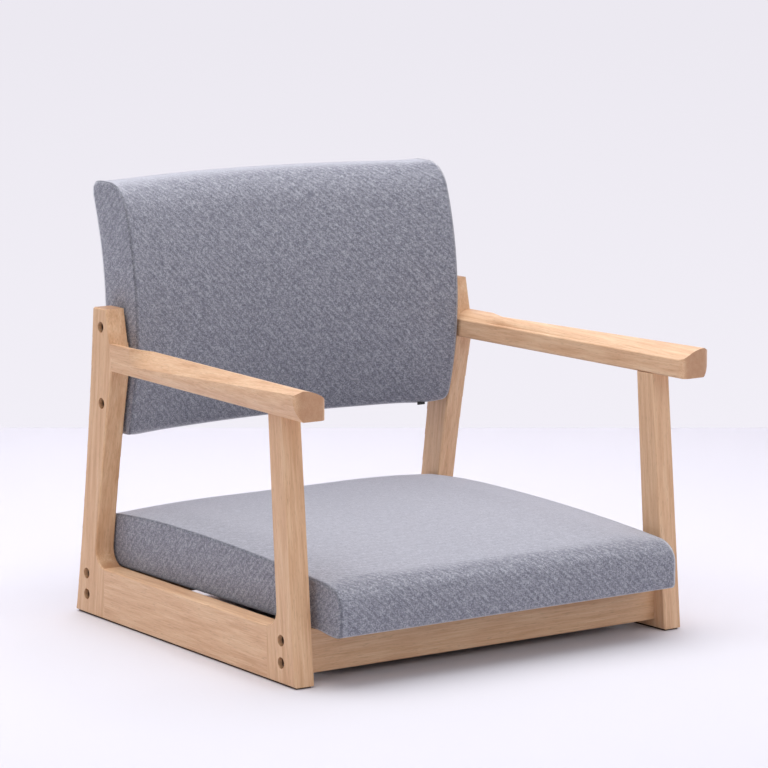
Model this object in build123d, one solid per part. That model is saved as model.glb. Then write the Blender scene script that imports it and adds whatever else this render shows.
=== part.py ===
"""Floor chair with armrests: two glued timber side frames bolted to two cross rails, a bolted backrest
pad and a screwed seat pad.

Millimetres, +Z up, the sitter faces -Y. Left (-X) and right (+X) are those of someone who stands in front
of the chair and looks at it. Everything is first laid out about the middle of the side frames' footprint,
with the floor at Z = 0, and moved at the end so that the origin is the centre of the bottom of the bounding
box. Each side frame is drawn square to the axes and then toed in, with all that is drilled into it.
"""
from build123d import *
from collections import defaultdict
import math
import os

# ---- side frames -------------------------------------------------------------------------------
FRAME_WIDTH = 540.0        # across the outer faces of the side frames at their front ends
FRAME_DEPTH = 492.0        # footprint of a side frame, front to back
TOE_IN = 12.9              # how much closer to the middle the rear end of each frame stands
TIMBER = 25.0              # thickness of rail, post and leg
EDGE_ROUND = 2.0           # eased edges of rail, post and leg
STRIP_THICKNESS = 2.0      # felt strip under each frame
STRIP_WIDTH = 19.0
STRIP_END_GAP = 3.0        # strip stops this far from the ends of the frame

RAIL_HEIGHT = 62.0         # top of the side rail above the floor
CORNER_RADIUS = 21.0       # hollow corners between rail and uprights
LEG_JOINT_SETBACK = 59.0   # joint of rail and leg, from the front of the frame
POST_JOINT_SETBACK = 69.0  # joint of rail and post, from the rear of the frame

LEG_TOP_SETBACK = 26.7     # front edge of the leg leans back this much up to the armrest
LEG_TOP_WIDTH = 28.7
LEG_RAIL_WIDTH = 33.0      # width of the leg where it runs into the rail

POST_HEIGHT = 371.0
POST_REAR_LEAN = 50.0      # rear edge of the post leans forward this much from floor to top
POST_REAR_BOW = 4.2        # and is hollow by this much half way
POST_TOP_WIDTH = 30.0
POST_TOP_ROUND = 3.0       # corner at the top of the post's rear edge
POST_APEX_SETBACK = 92.2   # front edge of the post at the armrest's underside, from the frame's rear
POST_APEX_RISE = 3.7       # front edge has gone back this much at the armrest's top
POST_RAIL_SETBACK = 47.0   # front edge of the post, run on down to the rail's top
POST_FRONT_BOW = 2.6       # front edge below the armrest is bowed back by this much

# ---- armrests ----------------------------------------------------------------------------------
ARM_UNDERSIDE = 300.0
ARM_INNER_HEIGHT = 23.0    # height of the armrest's inner side
ARM_HEIGHT = 31.8          # height of the ridge near its outer edge, at the post
ARM_FRONT_HEIGHT = 34.0    # and at the front end
ARM_CROWN = 2.6            # how much the top bulges between inner edge and ridge
ARM_OVERHANG = 28.0        # the armrest goes on past the front of the frame
ARM_BLOCK_LENGTH = 41.8    # next to the post, before the outer side starts to flare
ARM_CREASE_LENGTH = 34.0   # the upper facet takes this length to reach its full tilt
ARM_FLARE = 15.5           # the front end reaches this much further out than the frame
ARM_FOOT_FLARE = 6.0       # the same, at the underside
ARM_CHINE_REAR = 11.0      # height of the line between side and upper facet, at the rear
ARM_CHINE_FRONT = 30.0     # and at the front
ARM_RIDGE_INSET = 12.0     # ridge moves in this much where the facet starts
ARM_RIDGE_OUT = 6.5        # and stands this much outside the frame at the front end
ARM_SIDE_BULGE = 3.8       # roundness of the outer side at the front end
ARM_CORNER = 16.0          # rounded outer corner of the front end, seen from above
ARM_INNER_CORNER = 10.0
ARM_INNER_ROUND = 2.5      # rounded edges along the inner side

# ---- cross rails -------------------------------------------------------------------------------
CROSS_RAIL_TOP = 61.0
CROSS_RAIL_ROUND = 1.5
FRONT_RAIL_SETBACK = 29.7  # middle of the front rail and of its bolt holes, from the frame's front
FRONT_RAIL_THICKNESS = 22.0
FRONT_RAIL_CLEARANCE = 11.0  # gap to the floor
REAR_RAIL_SETBACK = 27.5   # the same at the rear
REAR_RAIL_THICKNESS = 28.0
REAR_RAIL_CLEARANCE = 14.0
CROSS_BOLT_HEIGHTS = (25.0, 50.0)

# ---- fasteners ---------------------------------------------------------------------------------
BOLT_DIAMETER = 6.0
BOLT_HEAD_DIAMETER = 10.0
BOLT_HEAD_HEIGHT = 6.0
HEX_KEY = 5.0
HEX_DEPTH = 3.0
BOLT_HOLE = 6.6
COUNTERBORE_DIAMETER = 13.0
COUNTERBORE_DEPTH = 12.0
WASHER_DIAMETER = 12.4
WASHER_THICKNESS = 1.6
THREAD_GAP = 0.05          # radial gap between a bolt and the nut that it is in
HOLE_GAP = 0.1             # radial gap of a nut, insert or dowel in its hole
CROSS_BOLT_LENGTH = 50.0
BARREL_DIAMETER = 10.0
BARREL_LENGTH = 16.0
BARREL_FROM_END = 31.0     # distance of the barrel nut from the end of the cross rail
LOCATING_DOWEL_DIAMETER = 8.0
LOCATING_DOWEL_LENGTH = 24.0

FRAME_DOWEL_DIAMETER = 10.0
FRAME_DOWEL_LENGTH = 38.0
FRAME_DOWEL_HEIGHTS = (20.0, 44.0)
ARM_DOWEL_DIAMETER = 8.0
ARM_DOWEL_LENGTH = 36.0
ARM_DOWEL_SPACING = 12.0
ARM_DOWEL_HEIGHT = 13.0    # middle of the two in the post, above the armrest's underside
DOWEL_END_GAP = 1.0        # glue space at each end of a dowel

# ---- backrest ----------------------------------------------------------------------------------
PAD_SIDE_GAP = 1.1         # between the pads and the frames where these stand closest
BACK_BOTTOM = 214.5
BACK_TOP = 515.0           # at the sides
BACK_TOP_CROWN = 2.3       # the middle of the top edge is higher
BACK_LUMBAR_Z = 350.0      # height of the part that stands furthest forward
BACK_FRONT_OVERHANG = 11.3  # how far it stands in front of the posts there, at the sides
BACK_HOLLOW = 38.0         # the middle of the pad stands this much further back
BACK_THICKNESS = 71.0
BACK_FRONT_RADIUS = 418.0  # bow of the front from top to bottom
BACK_REAR_RADIUS = 425.0   # bow of the rear above the lumbar line
BACK_REAR_LOWER_RADIUS = 1050.0
BACK_TOP_SHOULDER = 30.0   # the rounded top starts this much below its crown at the front
BACK_REAR_SHOULDER = 12.0  # and ends this much below it at the rear
BACK_CROWN_PLACE = 0.78    # share of the thickness that lies in front of the crown
BACK_BOTTOM_SHOULDER = 6.0
BACK_PANEL_THICKNESS = 9.0
BACK_PANEL_MARGIN = 6.0     # foam between the panel's edge and the cover
BACK_REAR_FOAM = 8.0
BACK_BOLT_HEIGHTS = (259.0, 349.0)
BACK_BOLT_SETBACK = 24.4   # from the front edge of the post at the armrest
BACK_BOLT_LENGTH = 30.0
BLOCK_WIDTH = 42.0         # timber block at each end of the panel, along the chair's width
BLOCK_DEPTH = 58.0         # before it is shaped to the panel
BLOCK_TAPER = 16.0         # its front slopes back this much, like the hollow of the pad
BLOCK_MARGIN = 22.0        # block goes on this much past the bolts, above and below
BLOCK_FRONT_COVER = 14.0   # block starts this much in front of the bolts
BLOCK_END_GAP = 1.6        # block stays this far inside the cover
SPACER_DIAMETER = 16.0     # nylon spacers between post and block
INSERT_DIAMETER = 10.0
INSERT_LENGTH = 15.0
BLOCK_SCREW_DIAMETER = 4.0
BLOCK_SCREW_HEAD = 8.0
BLOCK_SCREW_LENGTH = 28.0
BLOCK_SCREW_HEAD_HEIGHT = 2.2
BLOCK_SCREW_SPOT = 1.5     # flat for the head, sunk into the curved panel
BLOCK_SCREW_SPACING = 42.0
BLOCK_SCREW_INSET = 24.0   # from the side of the pad
TAB_WIDTH = 10.5           # sewn tab at the lower edge of the cover
TAB_BOTTOM = 214.6         # height of its lower end
TAB_THICKNESS = 1.6
TAB_INSET = 30.5           # from the right side of the pad

# ---- seat --------------------------------------------------------------------------------------
SEAT_OVERHANG = 35.0       # the seat goes on past the front of the frames
SEAT_REAR_SETBACK = 24.0   # and ends before their rear
SEAT_SIDE_HEIGHT = 65.5    # from the cross rails to the seam at the sides
SEAT_CROWN = 5.0           # the middle of the seat is higher
SEAT_FRONT_DROP = 15.3     # the front edge is lower than the rest
SEAT_SLOPE_LENGTH = 380.0  # length over which the front drops
SEAT_SLOPE_BULGE = 4.0     # roundness of that slope
SEAT_DISH = 1.0            # roundness of the top behind that slope
SEAT_FRONT_ROUND = 24.0
SEAT_REAR_ROUND = 17.0
SEAT_LOWER_CORNER = 3.0
SEAT_BOARD_THICKNESS = 12.0
SEAT_BOARD_MARGIN = 6.0    # foam between the board's edge and the cover, at the front and the sides
COVER_HEM = 30.0           # width of the cover that is turned in under the board
DUST_COVER_GAP = 0.5       # between the hem and the dust cover
SEAT_BOLT_INSET = 81.0     # from the side of the seat
SEAT_BOLT_OFFSET = 5.5     # the rear ones stand in front of the rail's middle, inside the board's edge
SEAT_BOLT_LENGTH = 45.0
TEE_FLANGE_DIAMETER = 14.0
TEE_FLANGE_THICKNESS = 1.5
TEE_BARREL_DIAMETER = 8.0
TEE_BARREL_LENGTH = 9.0

COVER_THICKNESS = 1.2      # upholstery fabric with its backing

# ---- values that follow from the ones above ----------------------------------------------------
HALF_WIDTH = FRAME_WIDTH / 2
HALF_DEPTH = FRAME_DEPTH / 2
TOE_ANGLE = math.degrees(math.asin(TOE_IN / FRAME_DEPTH))
OUTER_X = -HALF_WIDTH                   # outer face of the left frame before it is toed in
INNER_X = OUTER_X + TIMBER
TIMBER_MIDDLE_X = OUTER_X + TIMBER / 2
LEG_JOINT_Y = -HALF_DEPTH + LEG_JOINT_SETBACK
POST_JOINT_Y = HALF_DEPTH - POST_JOINT_SETBACK
POST_APEX_Y = HALF_DEPTH - POST_APEX_SETBACK
POST_RAIL_Y = HALF_DEPTH - POST_RAIL_SETBACK
ARM_TOP = ARM_UNDERSIDE + ARM_HEIGHT
ARM_FRONT_Y = -HALF_DEPTH - ARM_OVERHANG
ARM_BLOCK_Y = POST_APEX_Y - ARM_BLOCK_LENGTH
FRONT_RAIL_Y = -HALF_DEPTH + FRONT_RAIL_SETBACK
REAR_RAIL_Y = HALF_DEPTH - REAR_RAIL_SETBACK
PAD_HALF_WIDTH = HALF_WIDTH - TIMBER - TOE_IN - PAD_SIDE_GAP
BACK_HALF_WIDTH = PAD_HALF_WIDTH
BACK_FRONT_Y = POST_APEX_Y - BACK_FRONT_OVERHANG
BACK_BOLT_Y = POST_APEX_Y + BACK_BOLT_SETBACK
BLOCK_SCREW_X = BACK_HALF_WIDTH - BLOCK_SCREW_INSET
TAB_X = BACK_HALF_WIDTH - TAB_INSET
SEAT_HALF_WIDTH = PAD_HALF_WIDTH
SEAT_FRONT_Y = -HALF_DEPTH - SEAT_OVERHANG
SEAT_REAR_Y = HALF_DEPTH - SEAT_REAR_SETBACK
SEAT_BOLT_X = SEAT_HALF_WIDTH - SEAT_BOLT_INSET
SEAT_BOLT_REAR_Y = REAR_RAIL_Y - SEAT_BOLT_OFFSET
BACK_CENTRE_Y = BACK_FRONT_Y + BACK_FRONT_RADIUS
PANEL_DEPTH = COVER_THICKNESS + BACK_REAR_FOAM  # from the back of the pad to the back of the panel
BOLT_THREAD_HOLE = BOLT_DIAMETER + 2 * THREAD_GAP
BOARD_TOP = CROSS_RAIL_TOP + COVER_THICKNESS + SEAT_BOARD_THICKNESS
SEAT_BOLT_TIP = BOARD_TOP - TEE_FLANGE_THICKNESS
SEAT_BOLT_CEILING = SEAT_BOLT_TIP - SEAT_BOLT_LENGTH + WASHER_THICKNESS
SEAT_TOP = CROSS_RAIL_TOP + SEAT_SIDE_HEIGHT
LONG = 2000.0                           # longer than the chair, for cutting tools


# ---- small helpers -----------------------------------------------------------------------------
def rod(start, end, diameter):
    """Round bar between two points."""
    axis = Vector(*end) - Vector(*start)
    return Plane(origin=Vector(*start), z_dir=axis) * Cylinder(
        diameter / 2, axis.length, align=(Align.CENTER, Align.CENTER, Align.MIN)
    )


def block(x_range, y_range, z_range):
    """Box between three pairs of limits."""
    size = [high - low for low, high in (x_range, y_range, z_range)]
    middle = [(high + low) / 2 for low, high in (x_range, y_range, z_range)]
    return Pos(*middle) * Box(*size)


def section(x, *edges):
    """Closed face at one X from edges drawn in (Y, Z)."""
    return Plane.YZ.offset(x) * make_face(list(edges))


def toed(shape):
    """Turns a piece of the left frame about the frame's front outer corner."""
    corner = Pos(OUTER_X, -HALF_DEPTH, 0)
    return corner * Rot(0, 0, -TOE_ANGLE) * corner.inverse() * shape


def mirrored(shape):
    return mirror(shape, about=Plane.YZ)


def both_sides(shapes):
    """The solids of the left side together with those of the right side."""
    return shapes + [mirrored(shape) for shape in shapes]


# ---- side frame --------------------------------------------------------------------------------
def bowed(start, end, bow):
    """Arc from start to end whose middle is moved by bow along Y."""
    middle = ((start[0] + end[0]) / 2 + bow, (start[1] + end[1]) / 2)
    return ThreePointArc(start, middle, end)


def frame_outline():
    """Rail, post and leg in one flat outline, before it is divided into members."""
    floor = STRIP_THICKNESS
    rear_foot = (HALF_DEPTH, floor)
    front_foot = (-HALF_DEPTH, floor)
    leg_front_top = (-HALF_DEPTH + LEG_TOP_SETBACK, ARM_UNDERSIDE)
    leg_rear_top = (leg_front_top[0] + LEG_TOP_WIDTH, ARM_UNDERSIDE)
    lean = LEG_TOP_SETBACK * (RAIL_HEIGHT - floor) / (ARM_UNDERSIDE - floor)
    leg_corner = (-HALF_DEPTH + lean + LEG_RAIL_WIDTH, RAIL_HEIGHT)
    post_corner = (POST_RAIL_Y, RAIL_HEIGHT)
    apex = (POST_APEX_Y, ARM_UNDERSIDE)
    shoulder = (POST_APEX_Y + POST_APEX_RISE, ARM_TOP)
    post_rear_top = (HALF_DEPTH - POST_REAR_LEAN, POST_HEIGHT)
    post_front_top = (post_rear_top[0] - POST_TOP_WIDTH, POST_HEIGHT)
    outline = make_face(
        [
            Line(rear_foot, front_foot),
            Line(front_foot, leg_front_top),
            Line(leg_front_top, leg_rear_top),
            Line(leg_rear_top, leg_corner),
            Line(leg_corner, post_corner),
            bowed(post_corner, apex, POST_FRONT_BOW),
            Line(apex, shoulder),
            Line(shoulder, post_front_top),
            Line(post_front_top, post_rear_top),
            bowed(post_rear_top, rear_foot, -POST_REAR_BOW),
        ]
    )
    hollow = [v for v in outline.vertices() if abs(v.Y - RAIL_HEIGHT) < 0.01]
    outline = fillet(hollow, CORNER_RADIUS)
    rear_corner = outline.vertices().sort_by_distance((*post_rear_top, 0))[0]
    return fillet(rear_corner, POST_TOP_ROUND)


def frame_body():
    """Rail, post and leg as one board with eased edges, square where the armrest is glued on."""
    board = extrude(Plane.YZ.offset(OUTER_X) * frame_outline(), TIMBER)
    faces = board.faces().sort_by(Axis.X)
    leg_top_edges = board.faces().filter_by(Axis.Z).sort_by(Axis.Y)
    leg_top_edges = [f for f in leg_top_edges if abs(f.center().Z - ARM_UNDERSIDE) < 0.01][0].edges()
    eased = [
        edge
        for edge in faces[0].edges() + faces[-1].edges()
        if not any(edge.center() == other.center() for other in leg_top_edges)
    ]
    arm_seat = block(
        (OUTER_X, INNER_X),
        (POST_APEX_Y - POST_APEX_RISE, POST_APEX_Y + POST_TOP_WIDTH / 2),
        (ARM_UNDERSIDE, ARM_TOP),
    )
    return fillet(eased, EDGE_ROUND) + (board & arm_seat)


def arm_station(y, height, flare, chine, ridge_out, foot_flare, bulge):
    """One cross-section of the armrest; distances outward are measured from the frame's outer face."""
    low, high = ARM_UNDERSIDE, ARM_UNDERSIDE + ARM_INNER_HEIGHT
    turn = ARM_INNER_ROUND * (1 - math.sqrt(0.5))
    inner_bottom = (INNER_X - ARM_INNER_ROUND, low)
    inner_top = (INNER_X - ARM_INNER_ROUND, high)
    ridge = (OUTER_X - ridge_out, ARM_UNDERSIDE + height)
    chine_point = (OUTER_X - flare, ARM_UNDERSIDE + chine)
    foot = (OUTER_X - foot_flare, ARM_UNDERSIDE)
    crown = ((inner_top[0] + ridge[0]) / 2, (inner_top[1] + ridge[1]) / 2 + ARM_CROWN)
    side_middle = ((chine_point[0] + foot[0]) / 2 - bulge, (chine_point[1] + foot[1]) / 2 - bulge / 2)
    face = make_face(
        [
            ThreePointArc(inner_bottom, (INNER_X - turn, low + turn), (INNER_X, low + ARM_INNER_ROUND)),
            Line((INNER_X, low + ARM_INNER_ROUND), (INNER_X, high - ARM_INNER_ROUND)),
            ThreePointArc((INNER_X, high - ARM_INNER_ROUND), (INNER_X - turn, high - turn), inner_top),
            ThreePointArc(inner_top, crown, ridge),
            Line(ridge, chine_point),
            ThreePointArc(chine_point, side_middle, foot),
            Line(foot, inner_bottom),
        ]
    )
    return Plane(origin=(0, y, 0), x_dir=(1, 0, 0), z_dir=(0, -1, 0)) * face


def front_end_tool():
    """Vertical prism with the rounded corners of the armrest's front end."""
    reach = POST_APEX_Y + POST_TOP_WIDTH - ARM_FRONT_Y
    outer = OUTER_X - ARM_FLARE - ARM_SIDE_BULGE
    plan = make_face(
        Polyline(
            (INNER_X, ARM_FRONT_Y),
            (INNER_X, ARM_FRONT_Y + reach),
            (outer, ARM_FRONT_Y + reach),
            (outer, ARM_FRONT_Y),
            close=True,
        )
    )
    front = plan.vertices().sort_by(Axis.Y)[:2].sort_by(Axis.X)
    plan = fillet(front[-1], ARM_INNER_CORNER)
    outer_front = plan.vertices().sort_by(Axis.X)[:2].sort_by(Axis.Y)[0]
    plan = fillet(outer_front, ARM_CORNER)
    return Pos(0, 0, ARM_UNDERSIDE - 1) * extrude(plan, ARM_FRONT_HEIGHT + 2)


def armrest():
    """Flush with the frame at the post, flared and sculpted towards its front end."""
    flat = ARM_SIDE_BULGE / 100                     # the side starts almost flat
    facet_y = ARM_BLOCK_Y - ARM_CREASE_LENGTH
    run = (ARM_BLOCK_Y - facet_y) / (ARM_BLOCK_Y - ARM_FRONT_Y)
    chine_rise = ARM_CHINE_FRONT - ARM_CHINE_REAR
    stations = [
        arm_station(POST_APEX_Y + POST_TOP_WIDTH / 2, ARM_HEIGHT, 0, ARM_CHINE_REAR, 0, 0, flat),
        arm_station(ARM_BLOCK_Y, ARM_HEIGHT, 0, ARM_CHINE_REAR, 0, 0, flat),
        arm_station(
            facet_y,
            ARM_HEIGHT,
            ARM_FLARE * run,
            ARM_CHINE_REAR + chine_rise * run,
            -ARM_RIDGE_INSET,
            ARM_FOOT_FLARE * run,
            ARM_SIDE_BULGE * run + flat,
        ),
        arm_station(
            ARM_FRONT_Y,
            ARM_FRONT_HEIGHT,
            ARM_FLARE,
            ARM_CHINE_FRONT,
            ARM_RIDGE_OUT,
            ARM_FOOT_FLARE,
            ARM_SIDE_BULGE,
        ),
    ]
    arm = Part() + [loft(stations[i : i + 2], ruled=True) for i in range(3)]
    frame_space = extrude(Plane.YZ.offset(OUTER_X) * frame_outline(), TIMBER, both=True)
    return (arm & front_end_tool()) - frame_space


# ---- fasteners ---------------------------------------------------------------------------------
def socket_bolt(under_head, direction, length):
    """Bolt whose head ends at under_head and whose shank runs on along direction, with a hex socket."""
    start = Vector(*under_head)
    along = Vector(*direction)
    head_top = start - along * BOLT_HEAD_HEIGHT
    bolt = rod(head_top, start, BOLT_HEAD_DIAMETER) + rod(start, start + along * length, BOLT_DIAMETER)
    hexagon = RegularPolygon(HEX_KEY / 2, 6, major_radius=False)
    return bolt - extrude(Plane(origin=head_top, z_dir=along) * hexagon, HEX_DEPTH)


def ring(start, end, outer, inner):
    """Round sleeve or washer between two points."""
    return rod(start, end, outer) - rod(start, end, inner)


def frame_bolt(y, z, length):
    """Bolt through the left frame, its washer, and the stepped hole that they lie in."""
    seat = (OUTER_X + COUNTERBORE_DEPTH, y, z)
    under_head = (seat[0] - WASHER_THICKNESS, y, z)
    bolt = socket_bolt(under_head, (1, 0, 0), length)
    washer = ring(under_head, seat, WASHER_DIAMETER, BOLT_HOLE)
    hole = rod((OUTER_X - 1, y, z), seat, COUNTERBORE_DIAMETER)
    hole = hole + rod((OUTER_X - 1, y, z), (INNER_X + 1, y, z), BOLT_HOLE)
    return bolt, washer, hole


def barrel_nut(y, z):
    """Cross dowel with a threaded hole along X; it lies along Y inside the cross rail."""
    x = INNER_X + BARREL_FROM_END
    half = BARREL_LENGTH / 2
    nut = rod((x, y - half, z), (x, y + half, z), BARREL_DIAMETER)
    return nut - rod((x - BARREL_DIAMETER, y, z), (x + BARREL_DIAMETER, y, z), BOLT_THREAD_HOLE)


def barrel_hole(y, z, towards):
    """Blind hole for a barrel nut, drilled from the side of the rail that faces the middle."""
    x = INNER_X + BARREL_FROM_END
    end = y - towards * (BARREL_LENGTH / 2 + HOLE_GAP)
    mouth = y + towards * REAR_RAIL_THICKNESS
    return rod((x, end, z), (x, mouth, z), BARREL_DIAMETER + 2 * HOLE_GAP)


def add_cross_rail_joints(made):
    """Bolts, washers, barrel nuts and locating dowels of both cross rails, at the left end."""
    for y, towards in ((FRONT_RAIL_Y, 1), (REAR_RAIL_Y, -1)):
        for z in CROSS_BOLT_HEIGHTS:
            bolt, washer, hole = frame_bolt(y, z, CROSS_BOLT_LENGTH)
            made["cross_rail_bolts"].append(bolt)
            made["cross_rail_washers"].append(washer)
            made["cross_rail_barrel_nuts"].append(barrel_nut(y, z))
            made["frame_holes"].append(hole)
            bolt_end = OUTER_X + COUNTERBORE_DEPTH + CROSS_BOLT_LENGTH
            made["rail_holes"].append(rod((INNER_X - 1, y, z), (bolt_end, y, z), BOLT_HOLE))
            made["rail_holes"].append(barrel_hole(y, z, towards))
        middle = (INNER_X, y, middle_of(*CROSS_BOLT_HEIGHTS))
        pin, hole = dowel(middle, (1, 0, 0), LOCATING_DOWEL_DIAMETER, LOCATING_DOWEL_LENGTH)
        made["cross_rail_locating_dowels"].append(pin)
        made["frame_holes"].append(hole)
        made["rail_holes"].append(hole)


def add_backrest_joints(made):
    """Bolts, washers, spacers and insert nuts between the left post and the backrest's block."""
    face = INNER_X + block_setback()
    y = BACK_BOLT_Y
    for z in BACK_BOLT_HEIGHTS:
        bolt, washer, hole = frame_bolt(y, z, BACK_BOLT_LENGTH)
        made["backrest_bolts"].append(bolt)
        made["backrest_washers"].append(washer)
        made["frame_holes"].append(hole)
        spacer = ring((INNER_X, y, z), (face, y, z), SPACER_DIAMETER, BOLT_HOLE)
        made["backrest_spacers"].append(spacer)
        insert = ring((face, y, z), (face + INSERT_LENGTH, y, z), INSERT_DIAMETER, BOLT_THREAD_HOLE)
        made["backrest_insert_nuts"].append(insert)
        bottom = face + INSERT_LENGTH + DOWEL_END_GAP
        insert_hole = rod((face - 1, y, z), (bottom, y, z), INSERT_DIAMETER + 2 * HOLE_GAP)
        made["block_holes"].append(insert_hole)
        cover_hole = rod((INNER_X, y, z), (face, y, z), SPACER_DIAMETER + 2 * HOLE_GAP)
        made["cover_holes"].append(cover_hole)


# ---- dowels of the glued joints ----------------------------------------------------------------
def dowel(middle, direction, diameter, length):
    """A dowel and its hole, which is longer by the glue space at each end."""
    centre = Vector(*middle)
    half = Vector(*direction) * (length / 2)
    spare = Vector(*direction) * DOWEL_END_GAP
    pin = rod(centre - half, centre + half, diameter)
    hole = rod(centre - half - spare, centre + half + spare, diameter + 2 * HOLE_GAP)
    return pin, hole


def add_frame_dowels(made):
    """Dowels of the left frame: rail to leg, rail to post, leg to armrest, armrest to post."""
    pairs = []
    for z in FRAME_DOWEL_HEIGHTS:
        for y in (LEG_JOINT_Y, POST_JOINT_Y):
            middle = (TIMBER_MIDDLE_X, y, z)
            pairs.append(dowel(middle, (0, 1, 0), FRAME_DOWEL_DIAMETER, FRAME_DOWEL_LENGTH))
    leg_top_y = -HALF_DEPTH + LEG_TOP_SETBACK + LEG_TOP_WIDTH / 2
    post_joint_y = POST_APEX_Y + POST_APEX_RISE / 2
    for offset in (-ARM_DOWEL_SPACING / 2, ARM_DOWEL_SPACING / 2):
        middle = (TIMBER_MIDDLE_X, leg_top_y + offset, ARM_UNDERSIDE)
        pairs.append(dowel(middle, (0, 0, 1), ARM_DOWEL_DIAMETER, ARM_DOWEL_LENGTH))
        middle = (TIMBER_MIDDLE_X, post_joint_y, ARM_UNDERSIDE + ARM_DOWEL_HEIGHT + offset)
        pairs.append(dowel(middle, (0, 1, 0), ARM_DOWEL_DIAMETER, ARM_DOWEL_LENGTH))
    made["side_frame_dowels"] = [pin for pin, _ in pairs]
    made["frame_holes"] += [hole for _, hole in pairs]


def left_side():
    """Everything of the left side by name, toed in, with the holes that go on into other pieces."""
    made = defaultdict(list)
    add_cross_rail_joints(made)
    add_backrest_joints(made)
    add_frame_dowels(made)
    body = frame_body() - made["frame_holes"]
    rail_zone = block(
        (-LONG, LONG),
        (LEG_JOINT_Y, POST_JOINT_Y),
        (-LONG, RAIL_HEIGHT + CORNER_RADIUS),
    )
    leg, post = (body - rail_zone).solids().sort_by(Axis.Y)
    made["side_rail"] = [body & rail_zone]
    made["front_leg"] = [leg]
    made["rear_post"] = [post]
    made["armrest"] = [armrest() - made["frame_holes"]]
    made["floor_strip"] = [
        block(
            (TIMBER_MIDDLE_X - STRIP_WIDTH / 2, TIMBER_MIDDLE_X + STRIP_WIDTH / 2),
            (-HALF_DEPTH + STRIP_END_GAP, HALF_DEPTH - STRIP_END_GAP),
            (0, STRIP_THICKNESS),
        )
    ]
    made["outside"] = [block((-LONG, INNER_X), (-LONG, LONG), (-LONG, LONG))]
    return {name: [toed(shape) for shape in shapes] for name, shapes in made.items()}


# ---- cross rails -------------------------------------------------------------------------------
def cross_rail(y, thickness, clearance, left, seat_bolt_y):
    """Rail from one side frame to the other, drilled for the bolts at its ends and for the seat."""
    length = (-FRAME_WIDTH, FRAME_WIDTH)
    rail = block(length, (y - thickness / 2, y + thickness / 2), (clearance, CROSS_RAIL_TOP))
    rail = fillet(rail.edges().filter_by(Axis.X), CROSS_RAIL_ROUND)
    rail = rail - both_sides(left["outside"]) - both_sides(left["rail_holes"])
    for x in (-SEAT_BOLT_X, SEAT_BOLT_X):
        below = (x, seat_bolt_y, 0)
        ceiling = (x, seat_bolt_y, SEAT_BOLT_CEILING)
        above = (x, seat_bolt_y, BOARD_TOP)
        rail = rail - rod(below, ceiling, COUNTERBORE_DIAMETER) - rod(below, above, BOLT_HOLE)
    return rail


# ---- backrest ----------------------------------------------------------------------------------
def hollow_at(x):
    """How far the backrest stands back at this X, on one arc seen from above."""
    radius = (BACK_HALF_WIDTH**2 + BACK_HOLLOW**2) / (2 * BACK_HOLLOW)
    return math.sqrt(radius**2 - x**2) - (radius - BACK_HOLLOW)


def bowed_y(centre_y, radius, z):
    """Y of an arc about (centre_y, BACK_LUMBAR_Z), on its front side, at this height."""
    return centre_y - math.sqrt(radius**2 - (z - BACK_LUMBAR_Z) ** 2)


def front_y(x, z, inset):
    return bowed_y(BACK_CENTRE_Y + hollow_at(x), BACK_FRONT_RADIUS - inset, z)


def rear_y(x, z, inset):
    """Y of the back of the pad: one arc above the lumbar line, a flatter one below it."""
    radius = BACK_REAR_RADIUS if z > BACK_LUMBAR_Z else BACK_REAR_LOWER_RADIUS
    centre = BACK_FRONT_Y + BACK_THICKNESS + radius + hollow_at(x)
    return bowed_y(centre, radius + inset, z)


def arc_through(y_at, heights):
    """Arc through the points that y_at gives at three heights."""
    return ThreePointArc(*[(y_at(z), z) for z in heights])


def middle_of(low, high):
    return (low + high) / 2


def half_way_up(end, crown):
    """Middle of the arc that rises from one end to a crown where it runs level."""
    run, drop = crown[0] - end[0], crown[1] - end[1]
    radius = (run**2 + drop**2) / (2 * drop)
    half = math.asin(run / radius) / 2
    return crown[0] - radius * math.sin(half), crown[1] - radius * (1 - math.cos(half))


def back_section(x, inset):
    """Outline of the backrest pad at this X."""
    top = BACK_TOP + BACK_TOP_CROWN * (1 - (x / BACK_HALF_WIDTH) ** 2) - inset
    bottom = BACK_BOTTOM + inset
    front_top = top - BACK_TOP_SHOULDER
    rear_top = top - BACK_REAR_SHOULDER
    low = bottom + BACK_BOTTOM_SHOULDER
    lumbar = BACK_LUMBAR_Z

    def front(z):
        return front_y(x, z, inset)

    def rear(z):
        return rear_y(x, z, inset)

    front_end, rear_end = (front(front_top), front_top), (rear(rear_top), rear_top)
    crown = (front_end[0] + BACK_CROWN_PLACE * (rear_end[0] - front_end[0]), top)
    base_y = middle_of(front(low), rear(low))
    return section(
        x,
        arc_through(front, (low, lumbar, front_top)),
        ThreePointArc(front_end, half_way_up(front_end, crown), crown),
        ThreePointArc(crown, half_way_up(rear_end, crown), rear_end),
        arc_through(rear, (rear_top, middle_of(lumbar, rear_top), lumbar)),
        arc_through(rear, (lumbar, middle_of(lumbar, low), low)),
        ThreePointArc((rear(low), low), (base_y, bottom), (front(low), low)),
    )


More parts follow.
